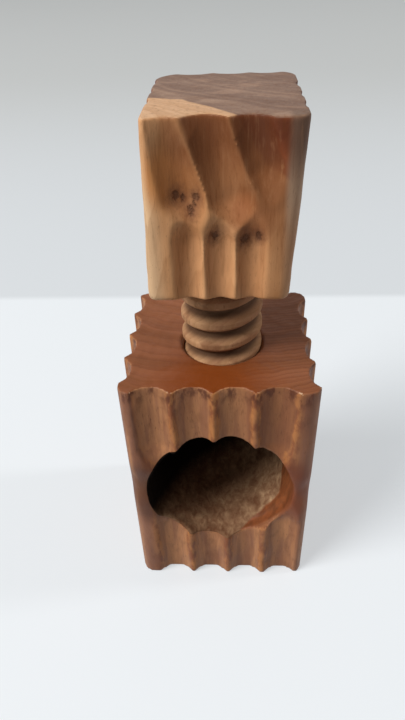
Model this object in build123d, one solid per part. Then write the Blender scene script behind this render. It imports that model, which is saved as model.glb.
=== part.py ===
from build123d import *
from math import ceil
import os

# Screw-press nutcracker of carved wood: a fluted block with a nut chamber bored in from the
# front, and a coarse wooden screw that comes down into the chamber from the top, turned by a
# carved handle block glued on its head.
# Millimetres, +Z up, origin at the centre of the block's base. The front, with the mouth of
# the chamber, faces -Y. All pieces are drawn at rest, with the screw partly raised.

# ---------------------------------------------------------------- driving dimensions

# Block
block_width = 60.0
block_depth = 56.0
block_height = 90.4
block_corner_radius = 4.5

# Flutes, cut with one gouge down every face of the block. Each row has its first centre,
# counted to the right from the middle of its face as seen from outside, and its spacing.
flute_radius = 7.2
flute_depth = 3.1
flutes_per_row = 4
front_upper_first = -20.3
front_upper_spacing = 12.5
front_lower_first = -17.2
front_lower_spacing = 13.0
right_first = -18.6
right_spacing = 11.7
back_first = -18.8
back_spacing = 12.5
left_first = -20.4
left_spacing = 12.4
upper_flutes_end = 57.0     # height where the gouge left the wood, coming down
lower_flutes_end = 42.0     # and going up, so that the front is smooth beside the mouth
upper_run_out = 11.0        # length over which the gouge rises out of the wood
lower_run_out = 14.0

# Nut chamber, bored level from the front face and rounded at the back
chamber_height = 46.0
mouth_radius = 24.2
mouth_land = 7.0            # width of the smooth band inside the mouth
bowl_radius = 23.6          # of its wall and of its round end
back_wall = 9.0

# Screw and its thread, with one right-hand start
screw_x = 0.7
screw_y = -1.2
thread_pitch = 7.3
crest_radius = 12.6
root_radius = 9.9
crest_land = 1.8
root_land = 0.3
thread_play = 0.4           # all round, between the screw and the thread in the block
thread_phase = 3.17         # height of a crest on the +X side, less whole turns
countersink_width = 0.4     # beyond the thread, at the top of the block
countersink_depth = 2.6
screw_lead_in = 2.0         # chamfer at the screw's lower end
tenon_radius = 9.5
tenon_length = 24.0
glue_line = 0.1

# Plain nose turned on the screw's lower end, which presses the nut
nose_length = 6.0
nose_radius = 9.8
nose_chamfer = 1.5
nose_gap = 0.1

# Rest position and the lowest position
handle_lift = 27.9          # gap between the handle and the block at rest
seat_gap = 0.5              # gap left there with the screw right down
crush_gap = 6.6             # least height left under the nose

# Handle block, placed from the screw's axis, leaning and widening a little towards its top.
# Its left and right faces are given at the underside and at the top.
handle_height = 46.2
handle_front = 22.3
handle_back = 22.0
handle_left = (18.9, 17.4)
handle_right = (18.1, 20.2)
front_left_radius = 2.0
front_right_radius = 3.0
back_left_radius = 7.5
back_right_radius = 5.0
handle_underside_round = 1.6

# Carving of the handle: three slanting strokes down from the top of each face, and three
# upright strokes up from the underside that meet them in pointed arches. An upper stroke has
# its place to the right of the middle of its face, at its start and its end, and its length.
strokes_per_row = 3
upper_strokes = [(-12.6, -6.3, 25.5), (-3.4, 5.4, 25.8), (6.9, 12.4, 18.8)]
upper_stroke_radius = 7.5
lower_stroke_radius = 5.0
lower_stroke_spacing = 7.9
lower_stroke_length = 25.0
stroke_run_out = 8.0        # length over which the gouge rises out of the wood

# Depths of the strokes, where each starts at an edge and where it begins to rise
front_depths = [(1.2, 2.6), (2.5, 2.9), (2.0, 2.2)]
right_depths = [(0.3, 2.2)] * strokes_per_row
back_depths = [(1.4, 2.6)] * strokes_per_row
left_depths = [(0.5, 2.2)] * strokes_per_row
lower_depths = (1.6, 2.0)

# ---------------------------------------------------------------- derived places

block_top = block_height
chamber_back = block_depth / 2 - back_wall
chamber_floor = chamber_height - bowl_radius
handle_bottom = block_top + handle_lift
nose_tip = chamber_floor + crush_gap + handle_lift - seat_gap
thread_bottom = nose_tip + nose_length
screw_axis = Pos(screw_x, screw_y, 0)
overrun = 5.0               # how far cutters run past the wood
ridge_foot = 1.0            # how deep the thread's ridge is rooted in its core
joining_tolerance = 0.0001


def face_plane(side, distance):
    """Plane on an upright face: X runs to the right seen from outside, Y is up."""
    outward = {"front": (0, -1), "right": (1, 0), "back": (0, 1), "left": (-1, 0)}[side]
    origin = (distance * outward[0], distance * outward[1], 0)
    return Plane(origin=origin, x_dir=(-outward[1], outward[0], 0), z_dir=(*outward, 0))


def upright_cylinder(radius, bottom, top):
    """Cylinder on the Z axis between two heights."""
    upward = (Align.CENTER, Align.CENTER, Align.MIN)
    return Pos(0, 0, bottom) * Cylinder(radius, top - bottom, align=upward)


def gouge_stroke(face, start, end, radius, depth_at_start, depth, run_out):
    """Round gouge driven across a face from an edge of the wood, and out of the wood at end.

    It goes straight to where it has its depth, and rises steadily from there to the surface.
    """
    way = (Vector(*end) - Vector(*start)).normalized()
    turn = Vector(*end) - way * run_out
    begin = face.from_local_coords((start[0], start[1], radius - depth_at_start))
    deepest = face.from_local_coords((turn.X, turn.Y, radius - depth))
    finish = face.from_local_coords((end[0], end[1], radius))
    outside = begin - (deepest - begin).normalized() * overrun
    edge = Plane(origin=outside, z_dir=deepest - outside) * Circle(radius)
    return sweep(edge, path=Polyline(outside, deepest, finish), transition=Transition.ROUND)


def row(first, spacing, count):
    """Centres of a row of equal strokes."""
    return [first + spacing * i for i in range(count)]


def centred_row(spacing, count):
    """Centres of a row of equal strokes about the middle of a face."""
    return row(-spacing * (count - 1) / 2, spacing, count)


# ---------------------------------------------------------------- the thread


def threaded_rod(root, crest, bottom, top):
    """Rod with a right-hand thread: a ridge swept up a helix, joined to a plain core.

    Both are made at least one turn too long each way and then cut off level.
    """
    first = thread_phase - thread_pitch * ceil((thread_phase - bottom) / thread_pitch + 1)
    rise = thread_pitch * (ceil((top - first) / thread_pitch) + 1)
    root_half = (thread_pitch - root_land) / 2
    foot_half = (root_half + thread_pitch / 2) / 2
    ridge_section = Polyline(
        (root - ridge_foot, -foot_half),
        (root, -root_half),
        (crest, -crest_land / 2),
        (crest, crest_land / 2),
        (root, root_half),
        (root - ridge_foot, foot_half),
        close=True,
    )
    helix = Helix(pitch=thread_pitch, height=rise, radius=(root + crest) / 2)
    ridge = sweep(Plane.XZ * make_face(ridge_section), path=helix, is_frenet=True)
    # The core is turned half round, so that its seam is away from the ridge's two ends
    core = Rot(0, 0, 180) * upright_cylinder(root, first - thread_pitch, first + rise + thread_pitch)
    rod = core.fuse(Pos(0, 0, first) * ridge, tol=joining_tolerance)
    return rod & upright_cylinder(crest + overrun, bottom, top)


# ---------------------------------------------------------------- pieces


def chamber():
    """The nut chamber: a bored mouth with a smooth band, then a bowl with a rounded end."""
    front = -block_depth / 2
    outline = Polyline(
        (0, front - overrun),
        (mouth_radius, front - overrun),
        (mouth_radius, front + mouth_land),
        (bowl_radius, front + mouth_land),
        (bowl_radius, chamber_back - bowl_radius),
    )
    round_end = CenterArc((0, chamber_back - bowl_radius), bowl_radius, 0, 90)
    axis = Line((0, chamber_back), (0, front - overrun))
    return Pos(0, 0, chamber_height) * revolve(make_face(outline + round_end + axis), Axis.Y)


def screw_hole():
    """Cutters for the threaded hole from the block's top down into the chamber, and its mouth."""
    bottom = chamber_height + overrun
    root, crest = root_radius + thread_play, crest_radius + thread_play
    thread = threaded_rod(root, crest, bottom, block_top + overrun)
    mouth = crest + countersink_width
    countersink = Pos(0, 0, block_top - countersink_depth) * Cone(
        mouth - countersink_depth,
        mouth + overrun,
        countersink_depth + overrun,
        align=(Align.CENTER, Align.CENTER, Align.MIN),
    )
    return screw_axis * thread, screw_axis * countersink


def make_block():
    block = extrude(Rectangle(block_width, block_depth), block_height)
    block = fillet(block.edges().filter_by(Axis.Z), block_corner_radius)
    flute = (flute_radius, flute_depth, flute_depth)
    front = face_plane("front", block_depth / 2)
    cuts = []
    for x in row(front_upper_first, front_upper_spacing, flutes_per_row):
        end = (x, upper_flutes_end)
        cuts.append(gouge_stroke(front, (x, block_top), end, *flute, upper_run_out))
    for x in row(front_lower_first, front_lower_spacing, flutes_per_row):
        end = (x, lower_flutes_end)
        cuts.append(gouge_stroke(front, (x, 0), end, *flute, lower_run_out))
    sides = {
        "right": (block_width / 2, right_first, right_spacing),
        "back": (block_depth / 2, back_first, back_spacing),
        "left": (block_width / 2, left_first, left_spacing),
    }
    for side, (distance, first, spacing) in sides.items():
        face = face_plane(side, distance)
        for x in row(first, spacing, flutes_per_row):
            centre = face.from_local_coords((x, -overrun, flute_radius - flute_depth))
            cuts.append(
                Pos(centre) * upright_cylinder(flute_radius, 0, block_height + 2 * overrun)
            )
    cuts += [chamber(), *screw_hole()]
    for cut in cuts:
        block -= cut
    return block


def make_screw():
    thread = threaded_rod(root_radius, crest_radius, thread_bottom, handle_bottom)
    length = handle_bottom - thread_bottom
    lead_in = Pos(0, 0, thread_bottom) * Cone(
        crest_radius - screw_lead_in,
        crest_radius - screw_lead_in + length,
        length,
        align=(Align.CENTER, Align.CENTER, Align.MIN),
    )
    tenon = upright_cylinder(tenon_radius, handle_bottom, handle_bottom + tenon_length)
    return screw_axis * ((thread & lead_in) + tenon)


def make_nose():
    nose = upright_cylinder(nose_radius, nose_tip, thread_bottom - nose_gap)
    return screw_axis * chamfer(nose.edges().sort_by(Axis.Z)[0], nose_chamfer)


def plain_handle():
    """The handle before carving, on Z = 0, with each upright corner rounded by its own radius."""
    (left_foot, left_top), (right_foot, right_top) = handle_left, handle_right
    front_view = Polyline(
        (-left_foot, 0),
        (right_foot, 0),
        (right_top, handle_height),
        (-left_top, handle_height),
        close=True,
    )
    face = Plane.XZ.offset(handle_front) * make_face(front_view)
    wood = extrude(face, handle_front + handle_back, dir=(0, 1, 0))
    left, right = -(left_foot + left_top) / 2, (right_foot + right_top) / 2
    corners = {
        (left, -handle_front): front_left_radius,
        (right, -handle_front): front_right_radius,
        (left, handle_back): back_left_radius,
        (right, handle_back): back_right_radius,
    }
    for (x, y), radius in corners.items():
        upright = wood.edges().sort_by_distance((x, y, handle_height / 2))[0]
        wood = fillet(upright, radius)
    return fillet(wood.faces().sort_by(Axis.Z)[0].edges(), handle_underside_round)


def make_handle():
    handle = plain_handle()
    # Each face's distance from the screw's axis at its foot and its top
    faces = {
        "front": (handle_front, handle_front, front_depths),
        "right": (*handle_right, right_depths),
        "back": (handle_back, handle_back, back_depths),
        "left": (*handle_left, left_depths),
    }
    for side, (at_foot, at_top, upper_depths) in faces.items():
        middle = (at_foot + at_top) / 2
        face = face_plane(side, middle)
        for (first, last, length), (shallow, deep) in zip(upper_strokes, upper_depths):
            handle -= gouge_stroke(
                face, (first, handle_height), (last, handle_height - length), upper_stroke_radius,
                shallow + middle - at_top, deep, stroke_run_out,
            )
        shallow, deep = lower_depths
        for x in centred_row(lower_stroke_spacing, strokes_per_row):
            handle -= gouge_stroke(
                face, (x, 0), (x, lower_stroke_length), lower_stroke_radius,
                shallow + middle - at_foot, deep, stroke_run_out,
            )
    handle -= upright_cylinder(tenon_radius + glue_line, 0, tenon_length + glue_line)
    return screw_axis * Pos(0, 0, handle_bottom) * handle


os.makedirs("parts", exist_ok=True)
for node, piece in {
    "block": make_block(),
    "screw": make_screw(),
    "screw_nose": make_nose(),
    "handle": make_handle(),
}.items():
    export_step(piece, f"parts/{node}.step")
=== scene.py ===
import bpy
from math import cos, radians, sin
from mathutils import Matrix, Vector


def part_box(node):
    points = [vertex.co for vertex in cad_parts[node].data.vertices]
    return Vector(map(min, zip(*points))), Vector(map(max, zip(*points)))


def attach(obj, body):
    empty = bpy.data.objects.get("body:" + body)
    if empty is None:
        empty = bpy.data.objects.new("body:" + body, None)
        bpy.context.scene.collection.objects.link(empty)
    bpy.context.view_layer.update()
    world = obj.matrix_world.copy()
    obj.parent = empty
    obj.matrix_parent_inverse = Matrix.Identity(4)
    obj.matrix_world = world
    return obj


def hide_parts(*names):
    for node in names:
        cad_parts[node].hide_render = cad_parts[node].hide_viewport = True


# Screw nutcracker of three pieces of wood: a fluted, varnished block, a bare wooden screw and
# an oiled, carved handle. +Z is up, and the front of the block faces -Y. The scene is in metres,
# and places and sizes on the wood are written in millimetres.

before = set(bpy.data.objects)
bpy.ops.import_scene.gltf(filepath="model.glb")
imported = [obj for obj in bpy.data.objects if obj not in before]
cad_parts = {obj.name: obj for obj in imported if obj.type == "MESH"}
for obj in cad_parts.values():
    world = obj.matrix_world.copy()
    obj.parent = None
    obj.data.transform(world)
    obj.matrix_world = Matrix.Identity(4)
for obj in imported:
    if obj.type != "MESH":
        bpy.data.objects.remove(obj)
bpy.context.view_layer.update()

MM = 0.001

BLOCK_TOP = 90.4
CHAMBER_HEIGHT = 46.0       # of the chamber's axis
MOUTH_RADIUS = 24.2
SCREW_AXIS = (0.7, -1.2, 0)
HANDLE_TOP = 164.5
HANDLE_LEAN = (1.5, 2.1)    # how far its left and right faces go to the right, from foot to top


# ------------------------------------------------------------------ small tools


def select_only(piece):
    """Nothing else stays selected, so an operator acts on this piece alone."""
    bpy.ops.object.select_all(action="DESELECT")
    piece.select_set(True)
    bpy.context.view_layer.objects.active = piece


def stain(hex_colour):
    """A colour as a maker's card gives it, turned into light values."""
    parts = [int(hex_colour[i:i + 2], 16) / 255 for i in (0, 2, 4)]
    return [p / 12.92 if p <= 0.04045 else ((p + 0.055) / 1.055) ** 2.4 for p in parts] + [1.0]


def node(tree, kind, inputs=None, **settings):
    """Adds one shader node. An input is a value, or another node's output to wire in."""
    made = tree.nodes.new(kind)
    for name, value in settings.items():
        setattr(made, name, value)
    for name, value in (inputs or {}).items():
        if isinstance(value, bpy.types.NodeSocket):
            tree.links.new(value, made.inputs[name])
        else:
            made.inputs[name].default_value = value
    return made


def maths(tree, operation, *values):
    return node(tree, "ShaderNodeMath", dict(enumerate(values)), operation=operation).outputs[0]


def times(tree, *values):
    """All the values multiplied together."""
    product, *others = values
    for value in others:
        product = maths(tree, "MULTIPLY", product, value)
    return product


def vector_maths(tree, operation, *values):
    made = node(tree, "ShaderNodeVectorMath", dict(enumerate(values)), operation=operation)
    return made.outputs["Value" if operation in ("LENGTH", "DOT_PRODUCT", "DISTANCE") else "Vector"]


def stretched(tree, place, x, y, z):
    """The place with each axis scaled by its own factor."""
    return vector_maths(tree, "MULTIPLY", place, (x, y, z))


def axes(tree, place):
    """Three values: to the right, to the back, and up."""
    return node(tree, "ShaderNodeSeparateXYZ", {0: place}).outputs


def mix(tree, amount, first, second):
    """Mixes two colours, each a number from a maker's card or another node's output."""
    first, second = (stain(c) if isinstance(c, str) else c for c in (first, second))
    return node(tree, "ShaderNodeMix", {0: amount, 6: first, 7: second}, data_type="RGBA").outputs[2]


def tint(tree, colour, other, *shares):
    """Brings another colour in, by the product of the shares."""
    return mix(tree, times(tree, *shares), colour, other)


def blur_step(tree, value, low, high, to_low=0.0, to_high=1.0):
    """Smooth step from to_low, where the value is low, to to_high, where it is high."""
    inputs = {"Value": value, "From Min": low, "From Max": high, "To Min": to_low, "To Max": to_high}
    return node(tree, "ShaderNodeMapRange", inputs, interpolation_type="SMOOTHSTEP").outputs[0]


def around(tree, place, centre, inner, outer, amount):
    """The amount within the inner distance of a centre, fading to 0 at the outer distance."""
    away = vector_maths(tree, "DISTANCE", place, centre)
    return blur_step(tree, away, inner, outer, amount, 0.0)


def noise(tree, place, scale, detail=3.0, roughness=0.5, distortion=0.0):
    inputs = {
        "Vector": place, "Scale": scale, "Detail": detail,
        "Roughness": roughness, "Distortion": distortion,
    }
    return node(tree, "ShaderNodeTexNoise", inputs).outputs["Fac"]


def centred(tree, value, size):
    """A noise value turned into a swing of this size, half of it to each side."""
    return times(tree, maths(tree, "SUBTRACT", value, 0.5), size)


def new_group(name, inputs, outputs):
    """A shader node group with named inputs and outputs. Returns the group and its two ends."""
    tree = bpy.data.node_groups.new(name, "ShaderNodeTree")
    for label, (kind, default) in inputs.items():
        socket = tree.interface.new_socket(label, in_out="INPUT", socket_type=kind)
        if default is not None:
            socket.default_value = default
    for label, kind in outputs.items():
        tree.interface.new_socket(label, in_out="OUTPUT", socket_type=kind)
    return tree, tree.nodes.new("NodeGroupInput").outputs, tree.nodes.new("NodeGroupOutput").inputs


def use(tree, group, **inputs):
    """Puts a node group in a tree, with its own values. Spaces in names are written as _."""
    named = {label.replace("_", " "): value for label, value in inputs.items()}
    return node(tree, "ShaderNodeGroup", named, node_tree=group).outputs


FLOAT, VECTOR = "NodeSocketFloat", "NodeSocketVector"


# ------------------------------------------------------------------ effects of the wood


def make_wood_figure():
    """Growth rings round a pith that runs along Z, colour streaks, long fibres and pores.

    Place is in millimetres from the pith.
    """
    tree, given, result = new_group(
        "wood_figure",
        {
            "Place": (VECTOR, None),
            "Ring Width": (FLOAT, 3.0),
            "Waver": (FLOAT, 3.0),
            "Streak Width": (FLOAT, 9.0),
        },
        {"Rings": FLOAT, "Streaks": FLOAT, "Fibres": FLOAT, "Pores": FLOAT},
    )
    place = given["Place"]
    bend = noise(tree, stretched(tree, place, 0.045, 0.045, 0.014), 1.0, detail=2.0)
    from_pith = vector_maths(tree, "LENGTH", stretched(tree, place, 1, 1, 0))
    radius = maths(tree, "ADD", from_pith, centred(tree, bend, given["Waver"]))
    turns = maths(tree, "DIVIDE", radius, given["Ring Width"])
    wobble = times(tree, noise(tree, stretched(tree, place, 0.3, 0.3, 0.05), 1.0), 0.7)
    grown = maths(tree, "FRACT", maths(tree, "ADD", turns, wobble))
    late_wood = maths(tree, "POWER", grown, 2.6)
    soft_end = blur_step(tree, grown, 0.90, 1.0, 1.0, 0.0)
    tree.links.new(times(tree, late_wood, soft_end), result["Rings"])

    band = maths(tree, "DIVIDE", radius, given["Streak Width"])
    along_grain = times(tree, axes(tree, place)["Z"], 0.012)
    lane = node(tree, "ShaderNodeCombineXYZ", {0: band, 1: along_grain}).outputs[0]
    tree.links.new(noise(tree, lane, 1.0, detail=4.0, roughness=0.6), result["Streaks"])

    fibres = noise(tree, stretched(tree, place, 2.2, 2.2, 0.10), 1.0, detail=4.0, roughness=0.7)
    tree.links.new(fibres, result["Fibres"])
    specks = noise(tree, stretched(tree, place, 4.0, 4.0, 0.45), 1.0, detail=1.0)
    tree.links.new(blur_step(tree, specks, 0.66, 0.74), result["Pores"])
    return tree


def make_wear_and_painted_light():
    """Where hands and tools rub: ridges that stand proud, paler partly as painted highlight, and
    hollows that keep the dirt, darker partly as painted shade.
    """
    tree, given, result = new_group(
        "wear_and_painted_light",
        {"Place": (VECTOR, None), "Patchiness": (FLOAT, 0.5)},
        {"Ridges": FLOAT, "Hollows": FLOAT},
    )
    pointed = node(tree, "ShaderNodeNewGeometry").outputs["Pointiness"]
    patches = noise(tree, stretched(tree, given["Place"], 0.35, 0.35, 0.2), 1.0)
    uneven = times(tree, centred(tree, patches, given["Patchiness"]), 0.06)
    bumpy = maths(tree, "ADD", pointed, uneven)
    tree.links.new(blur_step(tree, bumpy, 0.515, 0.58), result["Ridges"])
    tree.links.new(blur_step(tree, bumpy, 0.488, 0.42), result["Hollows"])
    return tree


def make_tool_marks():
    """Height of the ripples and scratches that gouge and abrasive leave."""
    tree, given, result = new_group(
        "tool_marks",
        {"Place": (VECTOR, None), "Ripple": (FLOAT, 1.0), "Scratch": (FLOAT, 0.5)},
        {"Height": FLOAT},
    )
    place = given["Place"]
    ripple = noise(tree, stretched(tree, place, 0.22, 0.22, 0.10), 1.0, detail=1.0)
    scratch = noise(tree, stretched(tree, place, 3.0, 3.0, 0.35), 1.0, roughness=0.65)
    ripple = times(tree, ripple, given["Ripple"])
    scratch = times(tree, scratch, given["Scratch"])
    tree.links.new(maths(tree, "ADD", ripple, scratch), result["Height"])
    return tree


wood_figure = make_wood_figure()
wear_and_painted_light = make_wear_and_painted_light()
tool_marks = make_tool_marks()


# ------------------------------------------------------------------ what the woods share


def new_material(name):
    """An empty material. Returns it, its node tree, and the place on the piece in millimetres."""
    material = bpy.data.materials.new(name)
    material.use_nodes = True
    tree = material.node_tree
    tree.nodes.clear()
    here = node(tree, "ShaderNodeTexCoord").outputs["Object"]
    return material, tree, stretched(tree, here, 1 / MM, 1 / MM, 1 / MM)


def log_figure(tree, place, pith, lean, **sizes):
    """The figure of the log that the piece was cut from, whose pith may lean by some degrees.

    Returns it with the place as seen from the pith.
    """
    inputs = {"Vector": place, "Location": pith, "Rotation": [radians(a) for a in lean]}
    grain = node(tree, "ShaderNodeMapping", inputs, vector_type="TEXTURE").outputs[0]
    return use(tree, wood_figure, Place=grain, **sizes), grain


def stored(tree, name):
    """What store() wrote on the piece's vertices."""
    return node(tree, "ShaderNodeAttribute", attribute_name=name).outputs["Fac"]


def facing_up(tree):
    return axes(tree, node(tree, "ShaderNodeNewGeometry").outputs["True Normal"])["Z"]


def finish_wood(tree, colour, roughness, height, sheen):
    """The wood's surface, from its colour, roughness, height in half millimetres and sheen."""
    inputs = {"Height": height, "Distance": 0.5 * MM, "Strength": 1.0}
    bumped = node(tree, "ShaderNodeBump", inputs).outputs[0]
    inputs = {
        "Base Color": colour, "Roughness": roughness, "Normal": bumped, "Specular IOR Level": sheen,
    }
    shader = node(tree, "ShaderNodeBsdfPrincipled", inputs)
    output = node(tree, "ShaderNodeOutputMaterial")
    tree.links.new(shader.outputs[0], output.inputs["Surface"])


# ------------------------------------------------------------------ varnished block


def darker_beside_mouth(tree, place, bore):
    """Where the front is darker, at each side of the mouth."""
    across, along, up = axes(tree, place)
    from_middle = maths(tree, "ABSOLUTE", maths(tree, "SUBTRACT", up, CHAMBER_HEIGHT))
    return times(
        tree,
        blur_step(tree, bore, 26, 36, 1.0, 0.0),
        blur_step(tree, along, -22, -25),
        blur_step(tree, from_middle, 10, 20, 1.0, 0.0),
    )


def rubbed_flute_ridges(tree, place, depth, lanes, cloudy):
    """The ridges between the flutes, where hands have rubbed them, and not the block's corners."""
    across, along, up = axes(tree, place)
    out_from_centre = maths(
        tree, "ADD", maths(tree, "ABSOLUTE", across), maths(tree, "ABSOLUTE", along)
    )
    crooked_depth = maths(tree, "ADD", depth, centred(tree, cloudy, 3.0))
    return times(
        tree,
        blur_step(tree, crooked_depth, 1.5, 0.7),
        blur_step(tree, out_from_centre, 54, 50),
        blur_step(tree, lanes, 0.35, 0.6, 0.6, 1.0),
    )


def stained_end_grain(tree, place, grain, figure):
    """The top of the block, which drank more of the stain, most at the front."""
    colour = mix(tree, blur_step(tree, figure["Streaks"], 0.38, 0.68), "965C3C", "86502F")
    colour = tint(tree, colour, "6A3419", figure["Rings"], 0.35)
    fine = use(tree, wood_figure, Place=grain, Ring_Width=1.5, Waver=9.0, Streak_Width=2.0)
    to_right = blur_step(tree, axes(tree, place)["X"], -12, 18, 0.1, 0.6)
    colour = tint(tree, colour, "6A341A", fine["Rings"], to_right)
    return tint(tree, colour, "7E3A0C", around(tree, place, (-2, -24, 90), 4, 26, 0.9))


def chamber_masks(tree, place, bore):
    """Where the surface is in the chamber, and where it is in the bare bowl.

    The varnish ran in at the mouth with a ragged end, and furthest at the right.
    """
    across, along, up = axes(tree, place)
    # The back of the block lies behind the mouth's circle, but outside the chamber
    in_chamber = times(
        tree,
        blur_step(tree, bore, MOUTH_RADIUS + 0.4, MOUTH_RADIUS + 0.7, 1.0, 0.0),
        blur_step(tree, along, 24.2, 25.0, 1.0, 0.0),
    )
    ragged = centred(tree, noise(tree, place, 0.12, detail=4.0), 5.0)
    run_at_right = times(
        tree, blur_step(tree, across, 20.5, 24, 0.0, 18.0), blur_step(tree, up, 66, 54)
    )
    varnish_end = maths(
        tree, "ADD", blur_step(tree, across, -2, 20, -28.5, -18.0), run_at_right
    )
    past_varnish = maths(tree, "SUBTRACT", maths(tree, "ADD", along, ragged), varnish_end)
    return in_chamber, times(tree, in_chamber, blur_step(tree, past_varnish, -0.6, 0.6))


def rough_bowl(tree, place, from_axis):
    """The bare bowl's colour, with painted shadow high in it at the left that turns near black, and
    its torn fibres.
    """
    fluff = noise(
        tree, stretched(tree, place, 0.5, 0.3, 0.36), 1.0, detail=6.0, roughness=0.62, distortion=0.6
    )
    colour = mix(tree, blur_step(tree, fluff, 0.2, 0.8), "7A5038", "CCA47C")
    mottled = noise(tree, place, 0.17, detail=5.0, roughness=0.65)
    colour = tint(tree, colour, "6A3F28", blur_step(tree, mottled, 0.40, 0.68, 0.0, 0.6))
    low = blur_step(tree, axes(tree, place)["Z"], 31, 23, 0.0, 0.45)
    colour = tint(tree, colour, "5A3826", low)
    # Painted shadow: the upper left of the bowl, shaded by the mouth's top edge, is made near black
    shadowed_side = vector_maths(tree, "DOT_PRODUCT", from_axis, (-0.40, 0.40, 0.82))
    return tint(tree, colour, "080403", blur_step(tree, shadowed_side, -19, -7, 0.0, 0.99)), fluff


def varnished_block():
    """Reddish-brown stain under varnish outside, and bare rough wood in the bowl."""
    material, tree, place = new_material("varnished_block")
    figure, grain = log_figure(
        tree, place, pith=(4, 74, 0), lean=(1.5, -1, 0),
        Ring_Width=4.2, Waver=9.0, Streak_Width=7.0,
    )
    wear_and_light = use(tree, wear_and_painted_light, Place=place, Patchiness=0.7)
    lanes = noise(tree, stretched(tree, place, 0.42, 0.42, 0.045), 1.0, detail=4.0)
    cloudy = noise(tree, stretched(tree, place, 0.35, 0.35, 0.16), 1.0, detail=4.0, roughness=0.6)
    across, along, up = axes(tree, place)
    depth = stored(tree, "carved_depth")
    from_axis = vector_maths(tree, "SUBTRACT", place, (0, 0, CHAMBER_HEIGHT))
    bore = vector_maths(tree, "LENGTH", stretched(tree, from_axis, 1, 0, 1))

    # Sides: long grain, pale in the flutes and deeper in colour to the upper right
    fluted = mix(tree, blur_step(tree, lanes, 0.36, 0.64), "C0865A", "9E6A4A")
    upper_right = times(tree, blur_step(tree, across, 1, 12), blur_step(tree, up, 30, 50))
    fluted = tint(tree, fluted, "804C2E", upper_right, 0.6)
    standing = mix(tree, blur_step(tree, figure["Streaks"], 0.36, 0.64), "97674E", "7C4F3B")
    body = mix(tree, blur_step(tree, depth, 0.2, 1.5), standing, fluted)
    body = tint(tree, body, "744028", figure["Rings"], 0.40)
    body = tint(tree, body, "A06A46", blur_step(tree, figure["Fibres"], 0.38, 0.66), 0.30)
    body = tint(tree, body, "5A3421", figure["Pores"], 0.45)
    # Darker hollows: dirt, and painted shade
    body = tint(tree, body, "6A452E", wear_and_light["Hollows"], 0.45)
    body = tint(tree, body, "6C4026", blur_step(tree, cloudy, 0.50, 0.72, 0.0, 0.32))
    golden = mix(tree, blur_step(tree, cloudy, 0.40, 0.62), "BC7C48", "8E5230")
    body = tint(tree, body, golden, rubbed_flute_ridges(tree, place, depth, lanes, cloudy))
    # Darker at each side of the mouth, on the front
    beside_mouth_colour = mix(tree, blur_step(tree, across, -20, 20), "55301F", "7A3C22")
    body = tint(tree, body, beside_mouth_colour, darker_beside_mouth(tree, place, bore), 0.8)

    # Top, with dirt under its edge, and small chips where a ridge ends
    level = facing_up(tree)
    body = mix(
        tree, blur_step(tree, level, 0.6, 0.9), body, stained_end_grain(tree, place, grain, figure)
    )
    body = tint(
        tree, body, "582C1A",
        blur_step(tree, up, BLOCK_TOP - 6.4, BLOCK_TOP - 1.8),
        blur_step(tree, level, 0.6, 0.3),
        blur_step(tree, cloudy, 0.44, 0.60, 0.1, 0.8),
    )
    body = tint(
        tree, body, "DDB893",
        blur_step(tree, noise(tree, place, 0.9, detail=2.0), 0.60, 0.66),
        blur_step(tree, up, BLOCK_TOP - 1.8, BLOCK_TOP - 0.6),
        blur_step(tree, depth, 1.6, 0.6),
        wear_and_light["Ridges"],
    )

    # Chamber: varnish that ran in at the mouth, then the bare bowl, with its painted shadow
    in_chamber, in_bowl = chamber_masks(tree, place, bore)
    varnish_run = mix(tree, blur_step(tree, cloudy, 0.35, 0.65), "8C4C28", "6E3C20")
    body = tint(tree, body, varnish_run, in_chamber, blur_step(tree, along, -25.5, -24.0), 0.9)
    bowl, fluff = rough_bowl(tree, place, from_axis)
    body = mix(tree, in_bowl, body, bowl)

    gloss = maths(tree, "ADD", 0.36, times(tree, figure["Fibres"], 0.24))
    roughness = blur_step(tree, in_bowl, 0.0, 1.0, gloss, 0.85)
    sheen = blur_step(tree, in_bowl, 0.0, 1.0, 0.22, 0.04)
    marks = use(tree, tool_marks, Place=place, Ripple=0.9, Scratch=0.12)
    height = maths(tree, "ADD", marks["Height"], times(tree, figure["Pores"], -0.08))
    height = maths(tree, "ADD", height, times(tree, fluff, in_bowl, 0.8))
    finish_wood(tree, body, roughness, height, sheen)
    return material


# ------------------------------------------------------------------ bare screw


def bare_screw():
    """Pale dry wood, never varnished, with painted shade between the threads."""
    material, tree, place = new_material("bare_screw")
    figure, _ = log_figure(
        tree, place, pith=(-22, 26, 0), lean=(1, 2, 0),
        Ring_Width=2.6, Waver=5.0, Streak_Width=5.0,
    )
    wear_and_light = use(tree, wear_and_painted_light, Place=place, Patchiness=0.8)
    body = mix(tree, blur_step(tree, figure["Streaks"], 0.35, 0.65), "C89A70", "9E7050")
    body = tint(tree, body, "92683F", figure["Rings"], 0.4)
    body = tint(tree, body, "6B4A30", figure["Pores"], 0.5)
    # Darker hollows and paler ridges: wear, with painted shade and painted highlight
    body = tint(tree, body, "7E5A40", wear_and_light["Hollows"], 0.5)
    body = tint(tree, body, "CCA07C", wear_and_light["Ridges"], 0.5)
    body = tint(tree, body, "74492F", blur_step(tree, noise(tree, place, 0.16), 0.55, 0.7), 0.5)
    # Painted shade in the grooves between the threads, darker towards their root
    from_axis = stretched(tree, vector_maths(tree, "SUBTRACT", place, SCREW_AXIS), 1, 1, 0)
    groove_shade = blur_step(tree, vector_maths(tree, "LENGTH", from_axis), 12.3, 10.4, 0.0, 0.9)
    body = tint(tree, body, "4A3020", groove_shade)
    roughness = blur_step(tree, figure["Fibres"], 0.2, 0.8, 0.55, 0.72)
    marks = use(tree, tool_marks, Place=place, Ripple=0.5, Scratch=0.35)
    finish_wood(tree, body, roughness, marks["Height"], sheen=0.10)
    return material


# ------------------------------------------------------------------ oiled handle

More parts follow.
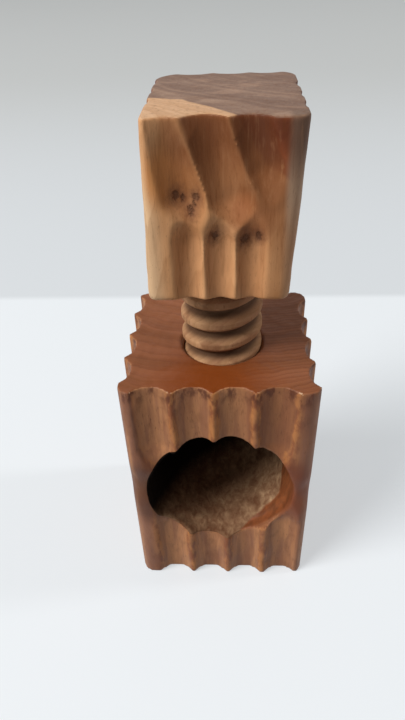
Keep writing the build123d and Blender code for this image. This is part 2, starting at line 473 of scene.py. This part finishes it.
# Small dark knots on the front, each with its place and its size
KNOTS = (
    ((-0.6, -21.6, 136.3), 1.3),
    ((7.0, -21.0, 135.5), 1.5),
    ((10.4, -21.6, 136.3), 1.2),
    ((-9.4, -20.0, 146.4), 1.3),
    ((-7.9, -20.0, 145.6), 1.0),
    ((-4.5, -20.0, 146.0), 1.1),
    ((-5.2, -20.0, 144.4), 0.9),
    ((-5.9, -20.0, 142.8), 1.3),
)

# Where more oil was rubbed in, with one painted shadow: the place, how far it reaches fully and at
# all, how much, its colour. The first is painted shadow under and right of the second stroke's lower
# tip.
OIL_AND_SHADOW_PATCHES = (
    ((8.5, -21.5, 141.5), 3.0, 9.0, 0.6, "8A4A24"),
    ((-5.7, -21.0, 158.0), 2.0, 7.0, 0.5, "84502E"),
    ((12.2, -21.0, 149.0), 3.0, 8.5, 0.55, "744628"),
)


def sapwood(tree, place, figure, level):
    """Pale end grain on top, orange under its oil at the sides, rubbed pale low at the left."""
    across, along, up = axes(tree, place)
    streaks = blur_step(tree, figure["Streaks"], 0.4, 0.68)
    sap = mix(tree, streaks, "E0A674", "C28858")
    low = blur_step(tree, up, 166, 140)
    sap = tint(tree, sap, "EEC69A", low, blur_step(tree, across, -12, -17), 0.9)
    left_stroke = around(tree, place, (-12.5, -21, 151), 3.0, 10.0, 0.8)
    sap = tint(tree, sap, "DC9050", left_stroke, blur_step(tree, across, -17, -15))
    front = blur_step(tree, along, -17, -20)
    sap = tint(tree, sap, "A87248", blur_step(tree, across, 9, 14), front, 0.5)
    sap = mix(tree, level, sap, mix(tree, streaks, "E0B48C", "CA9C74"))
    return tint(tree, sap, "A66C3C", figure["Rings"], 0.35)


def heartwood(tree, place, figure, level):
    """Red-brown at the sides, dry and greyer on top, and cloudy all over."""
    streaks = blur_step(tree, figure["Streaks"], 0.35, 0.62)
    heart = mix(tree, streaks, "86482A", "64301C")
    heart = mix(tree, level, heart, mix(tree, streaks, "A4846E", "806454"))
    heart = tint(tree, heart, "5E4032", figure["Rings"], 0.18)
    cloudy = noise(tree, stretched(tree, place, 0.08, 0.14, 0.04), 1.0)
    heart = tint(tree, heart, "6E5040", blur_step(tree, cloudy, 0.46, 0.62), 0.45)
    return tint(tree, heart, "BC967C", blur_step(tree, cloudy, 0.46, 0.36, 0.0, 0.3), level)


def into_heartwood(tree, place):
    """How far the place lies past the border of the heartwood, two planes that wander a little."""
    from_border = vector_maths(tree, "SUBTRACT", place, (-7.7, -7.2, HANDLE_TOP))
    planes = [
        vector_maths(tree, "DOT_PRODUCT", from_border, inward)
        for inward in ((0.72, 0.65, 0.50), (0.19, 0.95, 0.30))
    ]
    wander = centred(tree, noise(tree, stretched(tree, place, 0.06, 0.06, 0.03), 1.0), 5.0)
    return maths(tree, "ADD", maths(tree, "MAXIMUM", *planes), wander)


def from_knots(tree, place):
    """How far off the nearest knot is, as a share of its size, with a torn edge."""
    nearest = None
    for centre, size in KNOTS:
        away = stretched(tree, vector_maths(tree, "SUBTRACT", place, centre), 1, 0.3, 0.75)
        reach = maths(tree, "DIVIDE", vector_maths(tree, "LENGTH", away), size)
        nearest = reach if nearest is None else maths(tree, "MINIMUM", nearest, reach)
    torn = times(tree, noise(tree, place, 0.6, detail=4.0, roughness=0.7), 2.6)
    return maths(tree, "ADD", nearest, torn)


def oiled_handle():
    """Tan sapwood at the front and brown heartwood behind it, oiled and handled."""
    material, tree, place = new_material("oiled_handle")
    figure, _ = log_figure(
        tree, place, pith=(34, 40, 0), lean=(-9, 7, 0),
        Ring_Width=3.4, Waver=8.0, Streak_Width=6.0,
    )
    wear_and_light = use(tree, wear_and_painted_light, Place=place, Patchiness=0.7)
    across, along, up = axes(tree, place)
    depth, facing_right = stored(tree, "carved_depth"), stored(tree, "facing_right")
    level = blur_step(tree, facing_up(tree), 0.5, 0.9)
    upright = maths(tree, "SUBTRACT", 1.0, level)

    # Sapwood, browner towards the heartwood
    into_heart = into_heartwood(tree, place)
    sap = sapwood(tree, place, figure, level)
    sap = tint(tree, sap, "8E5430", blur_step(tree, into_heart, -14.0, 0.0, 0.0, 0.7), upright)
    heart = heartwood(tree, place, figure, level)
    body = mix(tree, blur_step(tree, into_heart, -0.4, 0.5), sap, heart)

    # The strokes took up more oil the deeper they go, most of all near the top. Walls facing left,
    # towards the lamp, get less of it: painted light.
    oil = mix(tree, blur_step(tree, up, 146, 163), "A5683E", "733E22")
    oil = tint(tree, oil, "66361E", blur_step(tree, into_heart, -2, 3))
    body = tint(
        tree, body, oil,
        blur_step(tree, depth, 0.2, 1.8),
        upright,
        blur_step(tree, up, 134, 160, 0.35, 0.85),
        blur_step(tree, across, -15, -7, 0.1, 1.0),
        blur_step(tree, facing_right, -0.35, 0.0, 0.82, 1.0),
    )

    # The left wall of each stroke faces away from the left lamp, and is painted darker: painted
    # shade.
    painted_wall_shade = mix(tree, blur_step(tree, up, 138, 156), "8E5834", "603218")
    body = tint(
        tree, body, painted_wall_shade,
        blur_step(tree, facing_right, 0.06, 0.42),
        blur_step(tree, depth, 0.1, 0.9),
        blur_step(tree, along, -12, -17),
        blur_step(tree, up, 130, 146, 0.25, 1.0),
        blur_step(tree, across, -12, 7, 0.04, 0.24),
    )
    # Oil patches, and a painted shadow under the second stroke's tip
    for centre, inner, outer, amount, colour in OIL_AND_SHADOW_PATCHES:
        body = tint(tree, body, colour, around(tree, place, centre, inner, outer, amount))

    # The right front corner is greyer, darker near the top and paler lower down
    grey_corner = mix(tree, blur_step(tree, up, 160, 146), "725A4A", "BC9C80")
    body = tint(
        tree, body, grey_corner,
        blur_step(tree, across, 15.5, 17.5),
        blur_step(tree, along, -17, -20),
        blur_step(tree, up, 132, 148, 0.3, 0.8),
    )

    # Knots: a brown halo round a few dark, crooked cracks
    knots = from_knots(tree, place)
    body = tint(tree, body, "6C4430", blur_step(tree, knots, 3.8, 1.5, 0.0, 0.7))
    cracked = blur_step(tree, knots, 2.1, 1.5)
    body = tint(tree, body, "4A2C1E", cracked, 0.6)

    # Fine streaks of oil and of dry fibre, pores and wear, with painted shade in the hollows and a
    # painted highlight on the ridges
    streaky = noise(tree, stretched(tree, place, 0.9, 0.9, 0.06), 1.0, detail=5.0, roughness=0.65)
    body = tint(tree, body, "703C18", blur_step(tree, streaky, 0.50, 0.70, 0.0, 0.35))
    body = tint(tree, body, "D8A274", blur_step(tree, streaky, 0.48, 0.30, 0.0, 0.12))
    body = tint(tree, body, "6A4228", figure["Pores"], 0.25)
    body = tint(tree, body, "5E3014", wear_and_light["Hollows"], 0.6)
    body = tint(tree, body, "C4905E", wear_and_light["Ridges"], blur_step(tree, depth, 1.0, 2.2, 0.1, 0.0))

    roughness = blur_step(tree, figure["Fibres"], 0.2, 0.8, 0.42, 0.6)
    marks = use(tree, tool_marks, Place=place, Ripple=0.6, Scratch=0.10)
    height = maths(tree, "ADD", marks["Height"], times(tree, cracked, -0.5))
    finish_wood(tree, body, roughness, height, sheen=0.14)
    return material


# ------------------------------------------------------------------ pieces


def apply_modifier(piece, kind, name, **settings):
    modifier = piece.modifiers.new(name, kind)
    for setting, value in settings.items():
        setattr(modifier, setting, value)
    bpy.ops.object.modifier_apply(modifier=modifier.name)


def carved_copy(name, cad_node, grid, rounds):
    """The CAD solid as the carver left it, with its edges eased. The grid is in millimetres."""
    piece = bpy.data.objects.new(name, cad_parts[cad_node].data.copy())
    bpy.context.scene.collection.objects.link(piece)
    select_only(piece)
    bpy.ops.object.mode_set(mode="EDIT")
    bpy.ops.mesh.select_all(action="SELECT")
    bpy.ops.mesh.remove_doubles(threshold=0.001 * MM)
    bpy.ops.mesh.normals_make_consistent(inside=False)
    bpy.ops.object.mode_set(mode="OBJECT")
    apply_modifier(piece, "REMESH", "even_mesh", mode="VOXEL", voxel_size=grid * MM)
    apply_modifier(piece, "SMOOTH", "eased_edges", factor=0.5, iterations=rounds)
    return piece


def push(piece, name, depth, direction, where, lump_size=None):
    """Moves the surface by up to the depth in millimetres, where the given weight says so.

    With a lump size the push comes and goes over the surface, and without it, it is even.
    """
    select_only(piece)
    group = piece.vertex_groups.new(name=name)
    for vertex in piece.data.vertices:
        weight = where(vertex.co / MM)
        if weight > 0.001:
            group.add([vertex.index], min(1.0, weight), "REPLACE")
    settings = {
        "direction": direction, "strength": depth * MM, "vertex_group": name, "mid_level": 0.0,
    }
    if lump_size:
        lumps = bpy.data.textures.new(name, "CLOUDS")
        lumps.noise_scale = lump_size * MM
        lumps.noise_depth = 1
        settings.update(texture=lumps, texture_coords="LOCAL", mid_level=0.5)
    apply_modifier(piece, "DISPLACE", name, **settings)
    piece.vertex_groups.clear()


def fade(value, start, end):
    """1 up to the start, then falling smoothly to 0 at the end."""
    share = min(1.0, max(0.0, (value - start) / (end - start)))
    return 1 - share * share * (3 - 2 * share)


def store(piece, name, value_of):
    """Stores a value for each vertex, which the piece's material reads."""
    layer = piece.data.attributes.new(name, "FLOAT", "POINT")
    for vertex, entry in zip(piece.data.vertices, layer.data):
        entry.value = value_of(vertex)


def depth_below(faces):
    """How deep a vertex lies below the nearest of the faces, each a point and a way out."""
    faces = [(point, Vector(outward).normalized()) for point, outward in faces]
    return lambda vertex: min((point - vertex.co / MM).dot(outward) for point, outward in faces)


def dress(piece, cad_node, body, material):
    """Gives a finished piece its material and its place on the CAD body."""
    select_only(piece)
    bpy.ops.object.shade_smooth()
    piece.data.materials.clear()
    piece.data.materials.append(material)
    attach(piece, body)
    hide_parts(cad_node)


def make_block():
    block = carved_copy("fluted_block", "block", grid=0.69, rounds=2)
    low, high = (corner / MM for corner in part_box("block"))

    def front_flutes(at):
        """The front face, away from its side edges, its top and its base."""
        ends = fade(-at.z, -low.z - 8, -low.z) * fade(at.z, high.z - 4, high.z)
        return fade(abs(at.x), 20, 27) * fade(at.y, low.y + 5, low.y + 8) * ends

    def beside_mouth(at):
        """The plain wood at each side of the mouth, between the two rows of flutes."""
        away = Vector((abs(at.x) - 28, at.z - (45 if at.x > 0 else 49))).length
        return fade(away, 1, 10) * fade(at.y, low.y + 2, low.y + 6)

    push(block, "wandering_ridges", 1.5, "X", front_flutes, lump_size=16)
    push(block, "pared_by_the_mouth", 1.1, "Y", beside_mouth)
    store(block, "carved_depth", depth_below([
        (low, (-1, 0, 0)), (low, (0, -1, 0)), (high, (1, 0, 0)), (high, (0, 1, 0)),
    ]))
    dress(block, "block", "base_block", varnished_block())


def make_screw():
    screw = carved_copy("wooden_screw", "screw", grid=0.335, rounds=0)
    nose = carved_copy("screw_nose_end", "screw_nose", grid=0.4, rounds=3)
    wood = bare_screw()
    dress(screw, "screw", "turning_screw", wood)
    dress(nose, "screw_nose", "screw_tip", wood)


def make_handle():
    handle = carved_copy("carved_handle", "handle", grid=0.4, rounds=2)
    low, high = (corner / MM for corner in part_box("handle"))

    def carved_sides(at):
        """All round, away from the flat top and the underside."""
        return fade(-at.z, -low.z - 5, -low.z) * fade(at.z, high.z - 4, high.z)

    def front_strokes(at):
        """The strokes of the front face, most in their middle."""
        depth = at.y - low.y
        return min(1.0, depth / 2.8) * fade(depth, 3.2, 6) * fade(abs(at.x), 15, 18)

    push(handle, "deeper_strokes", 1.1, "Y", front_strokes)
    push(handle, "uneven_strokes", -0.4, "NORMAL", carved_sides, lump_size=9)
    apply_modifier(handle, "SMOOTH", "rubbed_smooth", factor=0.5, iterations=14)
    left_lean, right_lean = (lean / (high.z - low.z) for lean in HANDLE_LEAN)
    store(handle, "carved_depth", depth_below([
        (low, (-1, 0, left_lean)), (high, (1, 0, -right_lean)), (low, (0, -1, 0)), (high, (0, 1, 0)),
    ]))
    # How far each vertex faces right, away from the left lamp, which places painted shade and
    # painted light on the stroke walls
    store(handle, "facing_right", lambda vertex: vertex.normal.x)
    dress(handle, "handle", "turning_screw", oiled_handle())


make_block()
make_screw()
make_handle()


# ------------------------------------------------------------------ table, light and camera


def directly_seen(tree):
    """1 where the camera, a reflection or clear glass looks, and 0 for light thrown on the wood."""
    path = node(tree, "ShaderNodeLightPath").outputs
    seen = maths(tree, "MAXIMUM", path["Is Camera Ray"], path["Is Glossy Ray"])
    return maths(tree, "MAXIMUM", seen, path["Is Transmission Ray"])


def make_table():
    """A pale sheet under the nutcracker, with a greyer backdrop behind a soft line."""
    bpy.ops.object.select_all(action="DESELECT")
    bpy.ops.mesh.primitive_plane_add(size=6.0, location=(0, 0, 0))
    table = bpy.context.object
    table.name = "table_top"
    material, tree, place = new_material("pale_sheet")
    along = axes(tree, place)["Y"]
    far_grey = blur_step(tree, along, 170, 900)
    backdrop = mix(tree, far_grey, "DEE2E5", "CDCFCE")
    paper = mix(tree, blur_step(tree, along, 168, 176), "F0F4F7", backdrop)
    # Seen directly the sheet is nearly white, with a soft shadow, and it throws back less light
    seen = directly_seen(tree)
    colour = mix(tree, seen, "94969A", paper)
    shader = node(tree, "ShaderNodeBsdfPrincipled", {"Base Color": colour, "Roughness": 0.8})
    glow = node(tree, "ShaderNodeEmission", {"Color": paper, "Strength": 1.0})
    lit = node(tree, "ShaderNodeMixShader")
    output = node(tree, "ShaderNodeOutputMaterial")
    tree.links.new(times(tree, seen, 0.52), lit.inputs[0])
    tree.links.new(shader.outputs[0], lit.inputs[1])
    tree.links.new(glow.outputs[0], lit.inputs[2])
    tree.links.new(lit.outputs[0], output.inputs["Surface"])
    table.data.materials.append(material)


def hang_lamp(name, place, size, watts):
    """A round soft lamp turned to the middle of the nutcracker, its place and size in metres."""
    lamp = bpy.data.lights.new(name, "AREA")
    lamp.shape = "DISK"
    lamp.size = size
    lamp.energy = watts
    lantern = bpy.data.objects.new(name, lamp)
    bpy.context.scene.collection.objects.link(lantern)
    lantern.location = place
    aim = Vector((0, 0, 0.08)) - lantern.location
    lantern.rotation_euler = aim.to_track_quat("-Z", "Y").to_euler()


def make_light():
    """Dim daylight from all round, a large lamp at the left and a small one at the right."""
    world = bpy.data.worlds.new("daylight")
    world.use_nodes = True
    bpy.context.scene.world = world
    tree = world.node_tree
    tree.nodes.clear()
    seen = directly_seen(tree)
    colour = mix(tree, seen, (0.95, 0.98, 1.0, 1.0), "D2D5D6")
    strength = blur_step(tree, seen, 0.0, 1.0, 0.17, 1.0)
    sky = node(tree, "ShaderNodeBackground", {"Color": colour, "Strength": strength})
    tree.links.new(sky.outputs[0], node(tree, "ShaderNodeOutputWorld").inputs["Surface"])
    hang_lamp("left_window", (-1.75, -1.0, 2.15), size=1.4, watts=79)
    hang_lamp("right_window", (2.4, 0.3, 1.75), size=0.36, watts=20)


def make_camera():
    """Held over the front of the block, looking down on it, turned a little."""
    place = Vector((3.27, -150.89, 198.38)) * MM
    pitch, yaw, roll = radians(37.81), radians(3.493), radians(-2.231)
    ahead = Vector((-sin(yaw) * cos(pitch), cos(yaw) * cos(pitch), -sin(pitch)))
    right = Vector((cos(yaw), sin(yaw), 0))
    up = right.cross(ahead)
    level = Matrix((right, up, -ahead)).transposed()
    turned = level @ Matrix.Rotation(roll, 3, "Z")
    lens = bpy.data.cameras.new("camera")
    lens.sensor_width = 36.0
    lens.lens = 28.6
    lens.clip_start = 0.01
    camera = bpy.data.objects.new("camera", lens)
    camera.matrix_world = Matrix.Translation(place) @ turned.to_4x4()
    bpy.context.scene.collection.objects.link(camera)
    bpy.context.scene.camera = camera


make_table()
make_light()
make_camera()
bpy.context.scene.view_settings.view_transform = "Standard"
